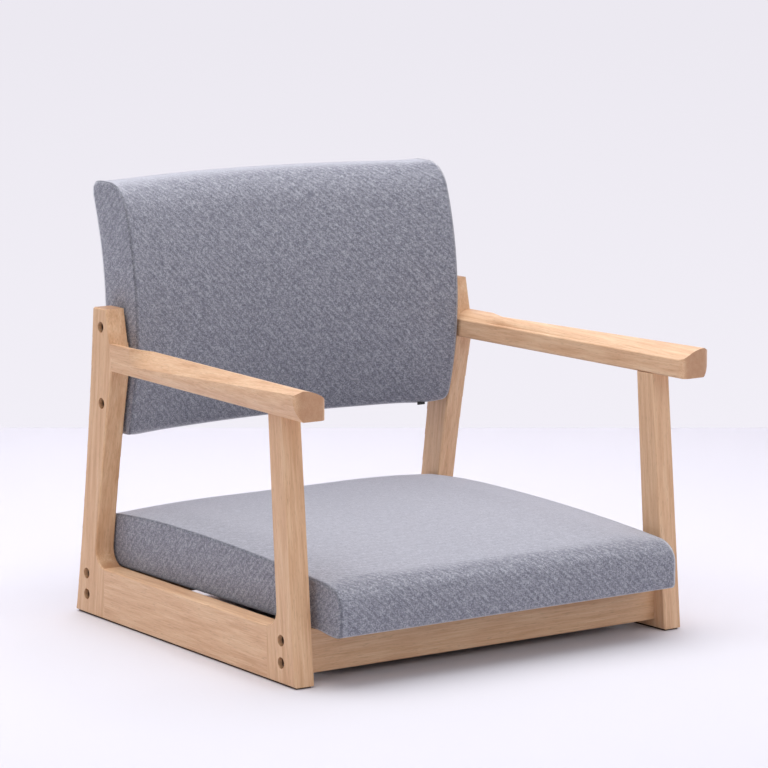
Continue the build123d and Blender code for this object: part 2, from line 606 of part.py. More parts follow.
def slab_section(x, near, far):
    """Outline of a layer between two depths behind the pad's rear surface, longer than the pad."""
    low = BACK_BOTTOM - BACK_THICKNESS / 2
    high = BACK_TOP + BACK_THICKNESS / 2
    lumbar = BACK_LUMBAR_Z
    edges = []
    for depth in (near, far):
        upper = [(rear_y(x, z, depth), z) for z in (high, middle_of(lumbar, high))]
        edges.append(ThreePointArc(*upper, (rear_y(x, lumbar, depth), lumbar)))
        lower = [(rear_y(x, z, depth), z) for z in (middle_of(lumbar, low), low)]
        edges.append(ThreePointArc((rear_y(x, lumbar, depth), lumbar), *lower))
    ends = [
        Line((rear_y(x, z, near), z), (rear_y(x, z, far), z))
        for z in (low, high)
    ]
    return section(x, *edges, *ends)


def across(half_width, section_at):
    """Loft through sections spread evenly from one side of the chair to the other."""
    steps = 3
    places = [half_width * i / steps for i in range(-steps, steps + 1)]
    return loft([section_at(x) for x in places])


def back_form(inset):
    return across(BACK_HALF_WIDTH - inset, lambda x: back_section(x, inset))


def block_setback():
    """Distance from the left frame to the backrest's block, which stays just inside the cover."""
    turn = math.radians(TOE_ANGLE)
    front = BACK_BOLT_Y - BLOCK_FRONT_COVER
    inner_face = OUTER_X + TIMBER / math.cos(turn) + (front + HALF_DEPTH) * math.tan(turn)
    return -BACK_HALF_WIDTH + COVER_THICKNESS + BLOCK_END_GAP - inner_face


def back_block():
    """Timber block at the left end of the backrest, before it is shaped to the panel."""
    face = INNER_X + block_setback()
    end = face + BLOCK_WIDTH
    front = BACK_BOLT_Y - BLOCK_FRONT_COVER
    rear = front + BLOCK_DEPTH
    corners = [(face, front), (end, front + BLOCK_TAPER), (end, rear), (face, rear)]
    bottom = BACK_BOLT_HEIGHTS[0] - BLOCK_MARGIN
    plan = Pos(0, 0, bottom) * make_face(Polyline(*corners, close=True))
    return extrude(plan, BACK_BOLT_HEIGHTS[1] + BLOCK_MARGIN - bottom)


def block_end_room():
    """Space between the block's end and the frame, where there is no foam."""
    front = BACK_BOLT_Y - BLOCK_FRONT_COVER
    return block(
        (INNER_X, INNER_X + block_setback()),
        (front, front + BLOCK_DEPTH),
        (BACK_BOLT_HEIGHTS[0] - BLOCK_MARGIN, BACK_BOLT_HEIGHTS[1] + BLOCK_MARGIN),
    )


def block_screw(x, z):
    """Pan-head screw from behind the panel into the block, its hole and the room for its head."""
    seat = rear_y(x, z, PANEL_DEPTH) - BLOCK_SCREW_SPOT
    head_end = seat + BLOCK_SCREW_HEAD_HEIGHT
    tip = seat - BLOCK_SCREW_LENGTH
    shank = rod((x, seat, z), (x, tip, z), BLOCK_SCREW_DIAMETER)
    screw = shank + rod((x, seat, z), (x, head_end, z), BLOCK_SCREW_HEAD)
    hole = rod((x, seat, z), (x, tip - HOLE_GAP, z), BLOCK_SCREW_DIAMETER + 2 * THREAD_GAP)
    room = rod((x, seat, z), (x, head_end + HOLE_GAP, z), BLOCK_SCREW_HEAD + 2 * HOLE_GAP)
    return screw, hole, room


def cover_tab(pad):
    """Small tab sewn into the lower front edge of the cover."""
    low = BACK_BOTTOM + BACK_BOTTOM_SHOULDER
    y = front_y(TAB_X, low, 0) + BACK_BOTTOM_SHOULDER
    tab = block(
        (TAB_X - TAB_WIDTH / 2, TAB_X + TAB_WIDTH / 2),
        (y, y + TAB_THICKNESS),
        (TAB_BOTTOM, low),
    )
    return tab - pad


def backrest(left):
    """Pieces of the backrest by name: cover, foam in front of and behind the panel, blocks, screws."""
    pad = back_form(0)
    inside = back_form(COVER_THICKNESS)
    panel_sheet = across(
        BACK_HALF_WIDTH + BACK_THICKNESS,
        lambda x: slab_section(x, PANEL_DEPTH, PANEL_DEPTH + BACK_PANEL_THICKNESS),
    )
    behind_panel = across(
        BACK_HALF_WIDTH + BACK_THICKNESS,
        lambda x: slab_section(x, -BACK_REAR_FOAM, PANEL_DEPTH),
    )
    panel = back_form(COVER_THICKNESS + BACK_PANEL_MARGIN) & panel_sheet
    foam_rear = inside & behind_panel
    foam_front = inside - behind_panel - panel
    shaped = (toed(back_block()) - panel_sheet).solids().sort_by(Axis.Y)[0]
    left_block = shaped - left["block_holes"]
    middle_z = middle_of(*BACK_BOLT_HEIGHTS)
    screws = []
    for z in (middle_z - BLOCK_SCREW_SPACING / 2, middle_z + BLOCK_SCREW_SPACING / 2):
        screw, hole, room = block_screw(-BLOCK_SCREW_X, z)
        screws.append(screw)
        left_block = left_block - hole
        panel = panel - both_sides([hole, room])
        foam_rear = foam_rear - both_sides([room])
    foam_front = foam_front - both_sides([toed(back_block()), toed(block_end_room())])
    return {
        "back_cover": [pad - inside - both_sides(left["cover_holes"])],
        "back_cover_tab": [cover_tab(pad)],
        "back_foam_front": [foam_front],
        "back_foam_rear": [foam_rear],
        "back_panel": [panel],
        "back_mount_block_left": [left_block],
        "back_mount_block_right": [mirrored(left_block)],
        "back_block_screws": both_sides(screws),
    }


# ---- seat --------------------------------------------------------------------------------------
def seat_section(x, inset):
    """Outline of the seat pad at this X."""
    rise = SEAT_CROWN * (1 - (x / SEAT_HALF_WIDTH) ** 2)
    bottom = CROSS_RAIL_TOP + inset
    top = SEAT_TOP + rise - inset
    front = SEAT_FRONT_Y + inset
    rear = SEAT_REAR_Y - inset
    lip = (front + SEAT_FRONT_ROUND, top - SEAT_FRONT_DROP)
    slope_end = (front + SEAT_SLOPE_LENGTH, top - SEAT_DISH)
    rear_top = (rear - SEAT_REAR_ROUND, top - SEAT_DISH)
    slope_middle = (middle_of(lip[0], slope_end[0]), middle_of(lip[1], slope_end[1]) + SEAT_SLOPE_BULGE)
    turn = 1 - math.sqrt(0.5)
    front_turn = (front + SEAT_FRONT_ROUND * turn, lip[1] - SEAT_FRONT_ROUND * turn)
    rear_turn = (rear - SEAT_REAR_ROUND * turn, rear_top[1] - SEAT_REAR_ROUND * turn)
    return section(
        x,
        Line((front + SEAT_LOWER_CORNER, bottom), (rear - SEAT_LOWER_CORNER, bottom)),
        Line((rear - SEAT_LOWER_CORNER, bottom), (rear, bottom + SEAT_LOWER_CORNER)),
        Line((rear, bottom + SEAT_LOWER_CORNER), (rear, rear_top[1] - SEAT_REAR_ROUND)),
        ThreePointArc((rear, rear_top[1] - SEAT_REAR_ROUND), rear_turn, rear_top),
        ThreePointArc(rear_top, (middle_of(rear_top[0], slope_end[0]), top), slope_end),
        ThreePointArc(slope_end, slope_middle, lip),
        ThreePointArc(lip, front_turn, (front, lip[1] - SEAT_FRONT_ROUND)),
        Line((front, lip[1] - SEAT_FRONT_ROUND), (front, bottom + SEAT_LOWER_CORNER)),
        Line((front, bottom + SEAT_LOWER_CORNER), (front + SEAT_LOWER_CORNER, bottom)),
    )


def seat_form(inset):
    return across(SEAT_HALF_WIDTH - inset, lambda x: seat_section(x, inset))


def seat_layer(margin, low, high):
    """Rectangular sheet with its edges a margin inside the seat's outline."""
    return block(
        (-SEAT_HALF_WIDTH + margin, SEAT_HALF_WIDTH - margin),
        (SEAT_FRONT_Y + margin, SEAT_REAR_Y - margin),
        (low, high),
    )


def seat():
    """Pieces of the seat by name: cover, foam, board, dust cover, bolts, washers and tee nuts."""
    made = defaultdict(list)
    holes = []
    nut_holes = []
    for y in (FRONT_RAIL_Y, SEAT_BOLT_REAR_Y):
        for x in (-SEAT_BOLT_X, SEAT_BOLT_X):
            ceiling = (x, y, SEAT_BOLT_CEILING)
            under_head = (x, y, SEAT_BOLT_CEILING - WASHER_THICKNESS)
            made["seat_bolts"].append(socket_bolt(under_head, (0, 0, 1), SEAT_BOLT_LENGTH))
            made["seat_bolt_washers"].append(ring(under_head, ceiling, WASHER_DIAMETER, BOLT_HOLE))
            top = (x, y, BOARD_TOP)
            flange_end = (x, y, BOARD_TOP - TEE_FLANGE_THICKNESS)
            barrel_end = (x, y, BOARD_TOP - TEE_FLANGE_THICKNESS - TEE_BARREL_LENGTH)
            flange = rod(flange_end, top, TEE_FLANGE_DIAMETER)
            barrel = rod(barrel_end, top, TEE_BARREL_DIAMETER)
            made["seat_tee_nuts"].append(flange + barrel - rod(barrel_end, top, BOLT_THREAD_HOLE))
            holes.append(rod(ceiling, top, BOLT_HOLE))
            nut_holes.append(rod(flange_end, top, TEE_FLANGE_DIAMETER + 2 * HOLE_GAP))
            nut_holes.append(rod(barrel_end, top, TEE_BARREL_DIAMETER + 2 * HOLE_GAP))
    pad = seat_form(0)
    inside = seat_form(COVER_THICKNESS)
    board_bottom = CROSS_RAIL_TOP + COVER_THICKNESS
    board_edge = COVER_THICKNESS + SEAT_BOARD_MARGIN
    board = inside & block(
        (-SEAT_HALF_WIDTH + board_edge, SEAT_HALF_WIDTH - board_edge),
        (SEAT_FRONT_Y + board_edge, SEAT_REAR_Y - COVER_THICKNESS),
        (board_bottom, BOARD_TOP),
    )
    opening = seat_layer(COVER_HEM, CROSS_RAIL_TOP, board_bottom)
    dust_cover = seat_layer(COVER_HEM + DUST_COVER_GAP, CROSS_RAIL_TOP, board_bottom)
    made["seat_cover"] = [pad - inside - opening - holes]
    made["seat_dust_cover"] = [dust_cover - holes]
    made["seat_board"] = [board - holes - nut_holes]
    made["seat_foam"] = [inside - board]
    return made


# ---- the whole chair ---------------------------------------------------------------------------
def chair():
    """All pieces by name, still about the middle of the frames' footprint."""
    left = left_side()
    pieces = {}
    for name in ("side_rail", "rear_post", "front_leg", "armrest", "side_frame_dowels", "floor_strip"):
        pieces[name + "_left"] = left[name]
        pieces[name + "_right"] = [mirrored(shape) for shape in left[name]]
    for name in (
        "cross_rail_bolts",
        "cross_rail_washers",
        "cross_rail_barrel_nuts",
        "cross_rail_locating_dowels",
        "backrest_bolts",
        "backrest_washers",
        "backrest_spacers",
        "backrest_insert_nuts",
    ):
        pieces[name] = both_sides(left[name])
    pieces["front_cross_rail"] = [
        cross_rail(FRONT_RAIL_Y, FRONT_RAIL_THICKNESS, FRONT_RAIL_CLEARANCE, left, FRONT_RAIL_Y)
    ]
    pieces["rear_cross_rail"] = [
        cross_rail(REAR_RAIL_Y, REAR_RAIL_THICKNESS, REAR_RAIL_CLEARANCE, left, SEAT_BOLT_REAR_Y)
    ]
    pieces.update(backrest(left))
    pieces.update(seat())
    return {name: Compound(solids_of_all(shapes)) for name, shapes in pieces.items()}


def solids_of_all(shapes):
    return [solid for shape in shapes for solid in shape.solids()]


def main():
    pieces = chair()
    box = Compound(solids_of_all(pieces.values())).bounding_box()
    to_origin = Pos(-box.center().X, -box.center().Y, -box.min.Z)
    print("moved by", to_origin.position, "size", box.size)
    os.makedirs("parts", exist_ok=True)
    for name, piece in pieces.items():
        export_step(to_origin * piece, f"parts/{name}.step")


main()
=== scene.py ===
"""Looks of the timber floor chair: lacquered rubberwood, two padded cushions in melange twill, fittings."""
import math

import bmesh
import bpy
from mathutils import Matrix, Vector


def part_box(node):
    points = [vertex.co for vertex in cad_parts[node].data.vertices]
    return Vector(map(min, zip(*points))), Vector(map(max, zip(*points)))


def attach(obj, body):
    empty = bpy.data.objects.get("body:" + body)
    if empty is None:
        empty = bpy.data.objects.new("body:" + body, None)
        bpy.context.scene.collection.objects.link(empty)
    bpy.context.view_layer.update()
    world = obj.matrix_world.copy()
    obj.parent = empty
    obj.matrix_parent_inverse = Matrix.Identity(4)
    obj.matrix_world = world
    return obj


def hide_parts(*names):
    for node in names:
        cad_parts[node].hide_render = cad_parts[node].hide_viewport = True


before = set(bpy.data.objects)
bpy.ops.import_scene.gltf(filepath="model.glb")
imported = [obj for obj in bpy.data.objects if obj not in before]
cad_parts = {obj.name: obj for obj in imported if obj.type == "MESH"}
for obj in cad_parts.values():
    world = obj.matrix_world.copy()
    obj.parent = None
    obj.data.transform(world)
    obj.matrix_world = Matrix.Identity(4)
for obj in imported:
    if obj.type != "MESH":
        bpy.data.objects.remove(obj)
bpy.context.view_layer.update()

MM = 0.001


# ---- small helpers -----------------------------------------------------------------------------
def linear(colour):
    """sRGB hex colour as linear red, green, blue, alpha."""
    values = [int(colour[i : i + 2], 16) / 255 for i in (1, 3, 5)]
    return [v / 12.92 if v <= 0.04045 else ((v + 0.055) / 1.055) ** 2.4 for v in values] + [1.0]


def add(tree, kind, inputs=None, stops=(), **settings):
    """Adds a shader node; inputs are constants or sockets, stops are a ramp's (place, hex colour)."""
    made = tree.nodes.new("ShaderNode" + kind)
    for name, value in settings.items():
        setattr(made, name, value)
    for name, value in (inputs or {}).items():
        socket = made.inputs[name]
        if isinstance(value, bpy.types.NodeSocket):
            tree.links.new(value, socket)
        else:
            socket.default_value = value
    if stops:
        elements = made.color_ramp.elements
        while len(elements) < len(stops):
            elements.new(1.0)
        for element, (place, colour) in zip(elements, stops):
            element.position = place
            element.color = linear(colour)
    return made


def new_material(name):
    """Empty node material; returns it, its tree and its shader."""
    material = bpy.data.materials.new(name)
    material.use_nodes = True
    tree = material.node_tree
    return material, tree, tree.nodes["Principled BSDF"]


def dress(node, material):
    """Gives a CAD node its material."""
    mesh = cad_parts[node].data
    mesh.materials.clear()
    mesh.materials.append(material)


# ---- timber ------------------------------------------------------------------------------------
# sizes of the timber's patterns along the grain, across the board and through it
WANDER = (312.5 * MM, 38.46 * MM, 38.46 * MM)
RINGS = (142.9 * MM, 8.333 * MM, 10.53 * MM)
RING_FINENESS = 1.6              # makes the rings about 5 mm apart
FIBRE = (45.45 * MM, 1.25 * MM, 1.25 * MM)
PORE = (9.09 * MM, 0.8696 * MM, 0.8696 * MM)
TIMBER_RELIEF = 0.15 * MM


def lacquered_timber(name, grain, offset, tint=0.0):
    """Pale rubberwood under a thin satin lacquer: straight grain, short dark pores, darker end grain."""
    material, tree, shader = new_material(name)
    place = add(tree, "TexCoord")
    along = Vector(grain).rotation_difference(Vector((1, 0, 0))).to_euler()
    turned = add(tree, "Mapping", {"Vector": place.outputs["Object"], "Rotation": along, "Location": offset})
    board = turned.outputs["Vector"]
    # annual rings, drawn out along the grain and bent by a slow wander
    wander = add(tree, "Mapping", {"Vector": board, "Scale": [1 / size for size in WANDER]})
    bend = add(tree, "TexNoise", {"Vector": wander.outputs["Vector"], "Scale": 1.0, "Detail": 3.0})
    drawn = add(tree, "Mapping", {"Vector": board, "Scale": [1 / size for size in RINGS]})
    pushed = add(
        tree,
        "VectorMath",
        {0: bend.outputs["Color"], 1: drawn.outputs["Vector"]},
        operation="ADD",
    )
    rings = add(
        tree, "TexNoise", {"Vector": pushed.outputs["Vector"], "Scale": RING_FINENESS, "Detail": 4.0}
    )
    # fibre streaks
    fine = add(tree, "Mapping", {"Vector": board, "Scale": [1 / size for size in FIBRE]})
    fibre = add(tree, "TexNoise", {"Vector": fine.outputs["Vector"], "Scale": 1.0, "Detail": 2.0})
    # pores: dark dashes, drawn twice as wide as real ones so that they show
    short = add(tree, "Mapping", {"Vector": board, "Scale": [1 / size for size in PORE]})
    dash = add(tree, "TexNoise", {"Vector": short.outputs["Vector"], "Scale": 1.0, "Detail": 1.0})
    pores = add(
        tree,
        "MapRange",
        {"Value": dash.outputs["Fac"], "From Min": 0.60, "From Max": 0.72, "To Min": 0.0, "To Max": 0.28},
    )
    ring_colour = add(
        tree,
        "ValToRGB",
        {"Fac": rings.outputs["Fac"]},
        stops=[(0.30, "#D09F76"), (0.47, "#DFB28A"), (0.58, "#E5BC94"), (0.72, "#EBC6A1")],
    )
    fibre_colour = add(
        tree, "ValToRGB", {"Fac": fibre.outputs["Fac"]}, stops=[(0.32, "#C7966D"), (0.68, "#F2D0AD")]
    )
    surface = add(
        tree,
        "MixRGB",
        {"Fac": 0.30, "Color1": ring_colour.outputs["Color"], "Color2": fibre_colour.outputs["Color"]},
    )
    pored = add(
        tree,
        "MixRGB",
        {"Fac": pores.outputs["Result"], "Color1": surface.outputs["Color"], "Color2": linear("#94694A")},
    )
    # end grain drinks more finish and comes out darker
    lengthwise = add(
        tree,
        "VectorMath",
        {0: place.outputs["Normal"], 1: Vector(grain).normalized()},
        operation="DOT_PRODUCT",
    )
    facing = add(tree, "Math", {0: lengthwise.outputs["Value"]}, operation="ABSOLUTE")
    end = add(
        tree,
        "MapRange",
        {"Value": facing.outputs["Value"], "From Min": 0.72, "From Max": 0.96, "To Min": 0.0, "To Max": 0.62},
    )
    ended = add(
        tree,
        "MixRGB",
        {"Fac": end.outputs["Result"], "Color1": pored.outputs["Color"], "Color2": linear("#AB7957")},
    )
    toned = add(
        tree,
        "HueSaturation",
        {"Color": ended.outputs["Color"], "Value": 1.0 + tint, "Saturation": 1.0 - tint},
    )
    height = add(tree, "Math", {0: fibre.outputs["Fac"], 1: pores.outputs["Result"]}, operation="SUBTRACT")
    bump = add(tree, "Bump", {"Height": height.outputs["Value"], "Strength": 0.25, "Distance": TIMBER_RELIEF})
    tree.links.new(toned.outputs["Color"], shader.inputs["Base Color"])
    tree.links.new(bump.outputs["Normal"], shader.inputs["Normal"])
    shader.inputs["Roughness"].default_value = 0.46
    shader.inputs["Coat Weight"].default_value = 0.08
    shader.inputs["Coat Roughness"].default_value = 0.30
    return material


POST_LEAN = (0.0, -0.11, 1.0)
LEG_LEAN = (0.0, 0.09, 1.0)
BOARD_ACROSS = (1.0, 0.0, 0.0)
BOARD_DEEP = (0.0, 1.0, 0.0)
PLANK_STEP = (0.37, 0.11, 0.23)  # each piece is cut this many metres further on in the plank
TIMBERS = {                      # node: direction of its grain, how much lighter it is
    "side_rail_left": (BOARD_DEEP, 0.0),
    "side_rail_right": (BOARD_DEEP, 0.01),
    "rear_post_left": (POST_LEAN, -0.03),
    "rear_post_right": (POST_LEAN, 0.0),
    "front_leg_left": (LEG_LEAN, -0.02),
    "front_leg_right": (LEG_LEAN, 0.01),
    "armrest_left": (BOARD_DEEP, 0.0),
    "armrest_right": (BOARD_DEEP, 0.02),
    "front_cross_rail": (BOARD_ACROSS, -0.02),
    "rear_cross_rail": (BOARD_ACROSS, -0.03),
}
for count, (node, (grain, tint)) in enumerate(TIMBERS.items()):
    offset = [step * count for step in PLANK_STEP]
    dress(node, lacquered_timber("lacquered_rubberwood_" + node, grain, offset, tint))


# ---- fittings and what is inside ---------------------------------------------------------------
def plain_finish(name, colour, roughness, metallic, grit, depth):
    """One-colour finish with fine grit, as moulded, plated or felted; grit and its depth are in mm."""
    material, tree, shader = new_material(name)
    place = add(tree, "TexCoord")
    grain = add(
        tree,
        "TexNoise",
        {"Vector": place.outputs["Object"], "Scale": 1.0 / (grit * MM), "Detail": 3.0},
    )
    darker = add(tree, "HueSaturation", {"Color": linear(colour), "Value": 0.72})
    blend = add(
        tree,
        "MixRGB",
        {"Fac": grain.outputs["Fac"], "Color1": darker.outputs["Color"], "Color2": linear(colour)},
    )
    bump = add(tree, "Bump", {"Height": grain.outputs["Fac"], "Strength": 0.4, "Distance": depth * MM})
    tree.links.new(blend.outputs["Color"], shader.inputs["Base Color"])
    tree.links.new(bump.outputs["Normal"], shader.inputs["Normal"])
    shader.inputs["Roughness"].default_value = roughness
    shader.inputs["Metallic"].default_value = metallic
    return material


bronzed = plain_finish("bronzed_steel", "#5A4436", 0.42, 0.9, 0.9, 0.05)
zinc = plain_finish("zinc_plated_steel", "#B9BAB8", 0.36, 1.0, 1.4, 0.03)
felt = plain_finish("brown_felt", "#4A3B31", 0.95, 0.0, 1.2, 0.3)
nylon = plain_finish("black_nylon", "#1E1E20", 0.5, 0.0, 0.8, 0.05)
raw_wood = lacquered_timber("raw_beech_dowels", BOARD_DEEP, (5.1, 2.0, 0.4), 0.02)
plywood = lacquered_timber("raw_plywood", BOARD_ACROSS, (6.3, 1.0, 0.9), 0.04)
lining = plain_finish("black_nonwoven_lining", "#232326", 0.95, 0.0, 1.5, 0.2)
foam = plain_finish("polyurethane_foam", "#D9CFAE", 0.9, 0.0, 1.1, 0.4)
FITTINGS = {
    bronzed: (
        "cross_rail_bolts", "cross_rail_washers", "backrest_bolts", "backrest_washers",
        "seat_bolts", "seat_bolt_washers",
    ),
    zinc: ("cross_rail_barrel_nuts", "backrest_insert_nuts", "seat_tee_nuts", "back_block_screws"),
    felt: ("floor_strip_left", "floor_strip_right"),
    nylon: ("backrest_spacers", "back_cover_tab"),
    raw_wood: (
        "side_frame_dowels_left", "side_frame_dowels_right", "cross_rail_locating_dowels",
        "back_mount_block_left", "back_mount_block_right",
    ),
    plywood: ("seat_board", "back_panel"),
    lining: ("seat_dust_cover",),
    # the cushions below stand for all of these
    foam: ("seat_foam", "back_foam_front", "back_foam_rear", "seat_cover", "back_cover"),
}
for material, nodes in FITTINGS.items():
    for node in nodes:
        dress(node, material)


# ---- upholstery --------------------------------------------------------------------------------
YARN_FLOAT = (1.8 * MM, 1.1 * MM)       # about twice the real ones, so that they show
YARN_TURN = math.radians(38)
SLUB_LENGTH = 9.0 * MM
TWILL_PITCH = 6.911 * MM                # several times the real one, so that it shows
WAVE_REPEAT = math.pi / 5               # along x + y, of a diagonal wave of scale 1
WEAVE_RELIEF = 0.25 * MM


def melange_twill():
    """Grey-blue wool-like twill of dark, middle and pale yarns, with a fuzzy matt surface and a painted sheen
    where it is seen at a flat angle.
    """
    material, tree, shader = new_material("melange_wool_twill")
    cloth = add(tree, "UVMap", uv_map="Weave")
    warp = add(tree, "Mapping", {"Vector": cloth.outputs["UV"], "Rotation": (0, 0, YARN_TURN)})
    cells = add(
        tree,
        "VectorMath",
        {0: warp.outputs["Vector"], 1: (1 / YARN_FLOAT[0], 1 / YARN_FLOAT[1], 1.0)},
        operation="MULTIPLY",
    )
    whole = add(tree, "VectorMath", {0: cells.outputs["Vector"]}, operation="FLOOR")
    random = add(tree, "TexWhiteNoise", {"Vector": whole.outputs["Vector"]}, noise_dimensions="2D")
    # slubs: the yarns' tone wanders
    slub = add(
        tree,
        "TexNoise",
        {"Vector": cloth.outputs["UV"], "Scale": 1 / SLUB_LENGTH, "Detail": 3.0, "Roughness": 0.65},
        noise_dimensions="2D",
    )
    mottle = add(
        tree, "MixRGB", {"Fac": 0.5, "Color1": random.outputs["Value"], "Color2": slub.outputs["Fac"]}
    )
    yarns = add(
        tree,
        "ValToRGB",
        {"Fac": mottle.outputs["Color"]},
        stops=[(0.18, "#70717D"), (0.42, "#84858F"), (0.58, "#93949D"), (0.84, "#AEAFB8")],
    )
    # diagonal twill lines
    line_scale = WAVE_REPEAT / (math.sqrt(2) * TWILL_PITCH)
    line = add(
        tree,
        "TexWave",
        {"Vector": cloth.outputs["UV"], "Scale": line_scale, "Distortion": 0.5, "Detail": 1.0},
        bands_direction="DIAGONAL",
    )
    lined = add(
        tree,
        "MixRGB",
        {"Fac": 0.09, "Color1": yarns.outputs["Color"], "Color2": line.outputs["Color"]},
        blend_type="OVERLAY",
    )
    # painted sheen: the colour is mixed towards a pale grey where the cloth is seen at a flat angle, in place
    # of the light that the nap's raised fibres catch
    flat_view = add(tree, "LayerWeight", {"Blend": 0.5})
    painted_sheen_mask = add(
        tree, "ValToRGB", {"Fac": flat_view.outputs["Facing"]}, stops=[(0.5, "#000000"), (0.85, "#A0A0A0")]
    )
    painted_sheen_colour = add(
        tree,
        "MixRGB",
        {"Fac": painted_sheen_mask.outputs["Color"], "Color1": lined.outputs["Color"], "Color2": linear("#DADBE4")},
    )
    relief = add(tree, "Math", {0: random.outputs["Value"], 1: line.outputs["Fac"]}, operation="ADD")
    bump = add(tree, "Bump", {"Height": relief.outputs["Value"], "Strength": 0.3, "Distance": WEAVE_RELIEF})
    tree.links.new(painted_sheen_colour.outputs["Color"], shader.inputs["Base Color"])
    tree.links.new(bump.outputs["Normal"], shader.inputs["Normal"])
    shader.inputs["Roughness"].default_value = 0.9
    shader.inputs["Specular IOR Level"].default_value = 0.35
    shader.inputs["Sheen Weight"].default_value = 1.0
    shader.inputs["Sheen Roughness"].default_value = 0.33
    shader.inputs["Sheen Tint"].default_value = linear("#F4F4FA")
    return material


twill = melange_twill()
SEAM_WIDTH = 1.0 * MM
SEAM_DEPTH = 2.2 * MM
PAD_HALF_WIDTH = 230.4 * MM             # of both cushions, before they are blown up
CLOTH_PRESSURE = 4.0
CLOTH_STIFFNESS = 20.0
CLOTH_FRAMES = 20


def cushion_blank(name, low, high, steps):
    """A cube set to two corners and cut into a grid, as the start of a cushion."""
    bpy.ops.object.select_all(action="DESELECT")
    middle = [(a + b) / 2 for a, b in zip(low, high)]
    size = [b - a for a, b in zip(low, high)]
    bpy.ops.mesh.primitive_cube_add(size=1, location=middle, scale=size)
    blank = bpy.context.object
    blank.name = name
    bpy.ops.object.transform_apply(location=True, rotation=True, scale=True)
    bpy.ops.object.mode_set(mode="EDIT")
    bpy.ops.mesh.select_mode(type="EDGE")
    for axis, count in enumerate(steps):
        mesh = bmesh.from_edit_mesh(blank.data)
        for edge in mesh.edges:
            span = edge.verts[1].co - edge.verts[0].co
            edge.select = abs(span[axis]) > 0.99 * span.length
        bmesh.update_edit_mesh(blank.data)
        bpy.ops.mesh.subdivide(number_cuts=count - 1)
    bpy.ops.object.mode_set(mode="OBJECT")
    while blank.data.uv_layers:
        blank.data.uv_layers.remove(blank.data.uv_layers[0])
    return blank


def shape_cushion(blank, low, high, place):
    """Moves the grid to the cushion's form, lays the weave flat on each panel and marks the seams."""
    mesh = blank.data
    keys = [(round(v.co.y, 6), round(v.co.z, 6)) for v in mesh.vertices]
    ys = sorted({key[0] for key in keys})
    zs = sorted({key[1] for key in keys})
    # the wrapped panel's length, walked from the rear bottom edge forward, up, back and down again
    walk = [(y, zs[0]) for y in reversed(ys)] + [(ys[0], z) for z in zs[1:]]
    walk += [(y, zs[-1]) for y in ys[1:]] + [(ys[-1], z) for z in reversed(zs[:-1])]
    run, total = {}, 0.0
    for a, b in zip(walk, walk[1:]):
        run.setdefault(a, total)
        total += (place(0.0, *b) - place(0.0, *a)).length
    side = high[0] - 0.01 * MM
    formed = [place(*v.co) for v in mesh.vertices]
    weave = mesh.uv_layers.new(name="Weave")
    for face in mesh.polygons:
        gusset = abs(face.normal.x) > 0.5
        runs = [run[keys[i]] for i in face.vertices] if not gusset else []
        for loop in face.loop_indices:
            i = mesh.loops[loop].vertex_index
            if gusset:
                weave.data[loop].uv = (formed[i].y, formed[i].z)
            else:
                closing = run[keys[i]] == 0.0 and max(runs) > total / 2
                weave.data[loop].uv = (formed[i].x, total if closing else run[keys[i]])
    seam = [i for i, v in enumerate(mesh.vertices) if abs(v.co.x) > side and keys[i] in run]
    marked = set(seam)
    crease = mesh.attributes.new("crease_edge", "FLOAT", "EDGE")
    for edge in mesh.edges:
        crease.data[edge.index].value = 1.0 if marked.issuperset(edge.vertices) else 0.0
    for vertex, target in zip(mesh.vertices, formed):
        vertex.co = target
    blank.vertex_groups.new(name="seam").add(seam, 1.0, "REPLACE")
    return seam


def swell(cushion, held, most):
    """Blows the cushion up against its sewn edges; most is how far a point may go along each axis."""
    bpy.ops.object.select_all(action="DESELECT")
    cushion.select_set(True)
    bpy.context.view_layer.objects.active = cushion
    group = cushion.vertex_groups.new(name="held")
    group.add(held, 1.0, "REPLACE")
    start = [vertex.co.copy() for vertex in cushion.data.vertices]
    cloth = cushion.modifiers.new("cloth", "CLOTH")
    cloth.settings.use_pressure = True
    cloth.settings.uniform_pressure_force = CLOTH_PRESSURE
    cloth.settings.effector_weights.gravity = 0.0
    cloth.settings.vertex_group_mass = "held"
    cloth.settings.tension_stiffness = CLOTH_STIFFNESS
    cloth.settings.compression_stiffness = CLOTH_STIFFNESS
    for step in range(CLOTH_FRAMES):
        bpy.context.scene.frame_set(step + 1)
    blown = cushion.evaluated_get(bpy.context.evaluated_depsgraph_get())
    ends = [vertex.co.copy() for vertex in blown.data.vertices]
    cushion.modifiers.remove(cloth)
    bpy.context.scene.frame_set(1)
    for vertex, before, after in zip(cushion.data.vertices, start, ends):
        move = after - before
        vertex.co = before + Vector([max(-cap, min(cap, part)) for part, cap in zip(move, most)])
    smooth = cushion.modifiers.new("smooth", "SMOOTH")
    smooth.iterations = 5
    smooth.factor = 0.5
    smooth.vertex_group = "held"
    smooth.invert_vertex_group = True
    bpy.ops.object.modifier_apply(modifier=smooth.name)
    finer = cushion.modifiers.new("finer", "SUBSURF")
    finer.levels = 1
    finer.render_levels = 1
    bpy.ops.object.modifier_apply(modifier=finer.name)
    bpy.ops.object.shade_smooth()


